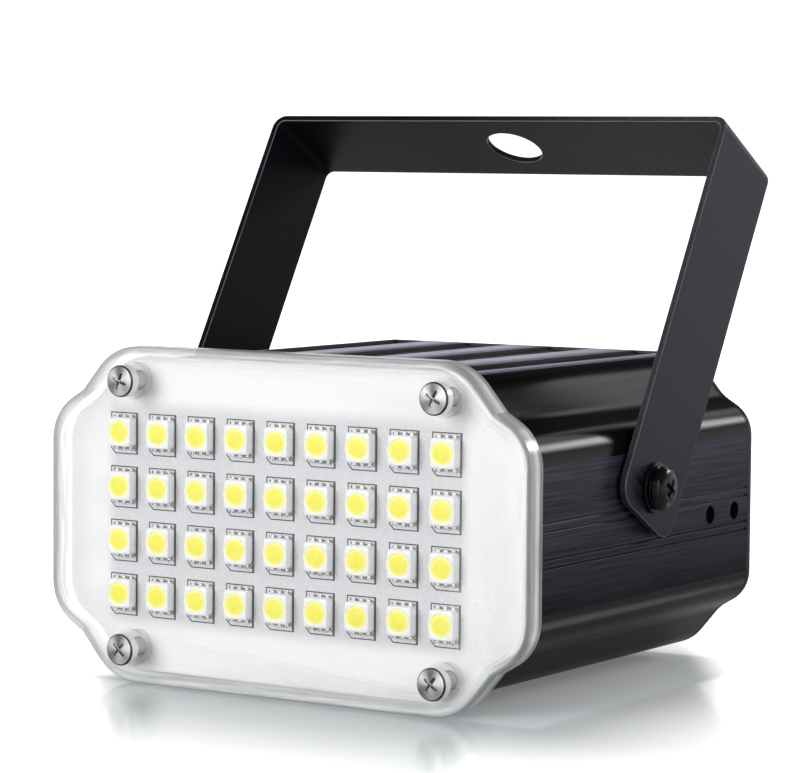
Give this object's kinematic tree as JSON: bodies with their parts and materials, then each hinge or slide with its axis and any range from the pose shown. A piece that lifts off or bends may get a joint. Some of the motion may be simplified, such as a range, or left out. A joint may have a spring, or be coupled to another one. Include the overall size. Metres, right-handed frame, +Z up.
{
  "type": "strobe light",
  "caption": "Small strobe light: extruded metal box with rounded lobed corners, clear front cover over rows of square lamps, and a strap bracket that tilts on side screws.",
  "frame": {"origin": "middle of the housing's flat underside", "axes": "+Z up, -Y the way the light shines, +X towards the side with the two small holes"},
  "size_m": [0.1064, 0.1036, 0.1015],
  "materials": {
    "anodised_housing": "black anodised, fine brushed grain along the depth",
    "clear_cover": "clear, smooth",
    "white_board": "satin white",
    "lamp": "yellow disc in a white body",
    "nickel_screw": "nickel plated",
    "black_bracket": "satin black",
    "black_screw": "glossy black",
    "black_panel": "satin black",
    "black_nylon": "matte",
    "black_knob": "fine matte",
    "control_metal": "plain metal",
    "green_board": "satin",
    "capacitor_sleeve": "satin",
    "component_body": "matte",
    "fuse_glass": "clear tube with metal caps",
    "terminal_plastic": "satin",
    "trimmer_plastic": "satin",
    "red_sleeve": "satin",
    "black_sleeve": "satin"
  },
  "bodies": {
    "body": {"housing": "anodised_housing", "front_cover": "clear_cover", "lamp_board": "white_board", "lamp_string_1": "lamp", "lamp_string_2": "lamp", "lamp_string_3": "lamp", "lamp_string_4": "lamp", "lamp_string_5": "lamp", "lamp_string_6": "lamp", "lamp_string_7": "lamp", "lamp_string_8": "lamp", "lamp_string_9": "lamp", "cover_screw_1": "nickel_screw", "cover_screw_2": "nickel_screw", "cover_screw_3": "nickel_screw", "cover_screw_4": "nickel_screw", "panel_screw_1": "black_screw", "panel_screw_2": "black_screw", "panel_screw_3": "black_screw", "panel_screw_4": "black_screw", "pivot_screw_left": "black_screw", "pivot_screw_right": "black_screw", "pivot_spring_washer_left": "black_screw", "pivot_spring_washer_right": "black_screw", "pivot_flat_washer_left": "black_screw", "pivot_flat_washer_right": "black_screw", "friction_washer_left": "black_nylon", "friction_washer_right": "black_nylon", "pivot_nut_left": "nickel_screw", "pivot_nut_right": "nickel_screw", "rear_panel": "black_panel", "pot_body": "control_metal", "pot_nut": "nickel_screw", "cord_gland": "black_nylon", "gland_lock_nut": "black_nylon", "control_board": "green_board", "capacitor_large": "capacitor_sleeve", "capacitor_small": "capacitor_sleeve", "rectifier": "component_body", "driver_transistor_1": "component_body", "driver_transistor_2": "component_body", "fuse": "fuse_glass", "terminal_block": "terminal_plastic", "microphone": "control_metal", "trimmer": "trimmer_plastic", "lamp_lead_positive": "red_sleeve", "lamp_lead_negative": "black_sleeve"},
    "bracket": {"bracket": "black_bracket"},
    "knob": {"speed_knob": "black_knob", "pot_shaft": "control_metal"}
  },
  "joints": [
    {"name": "bracket_tilt", "type": "hinge", "parent": "body", "child": "bracket", "pos_m": [0, -0.0009, 0.0339], "axis": [1, 0, 0], "range_deg": [-190, 85]},
    {"name": "speed_knob_turn", "type": "hinge", "parent": "body", "child": "knob", "pos_m": [0.02, 0.0438, 0.0335], "axis": [0, 1, 0], "range_deg": [-140, 140]}
  ]
}
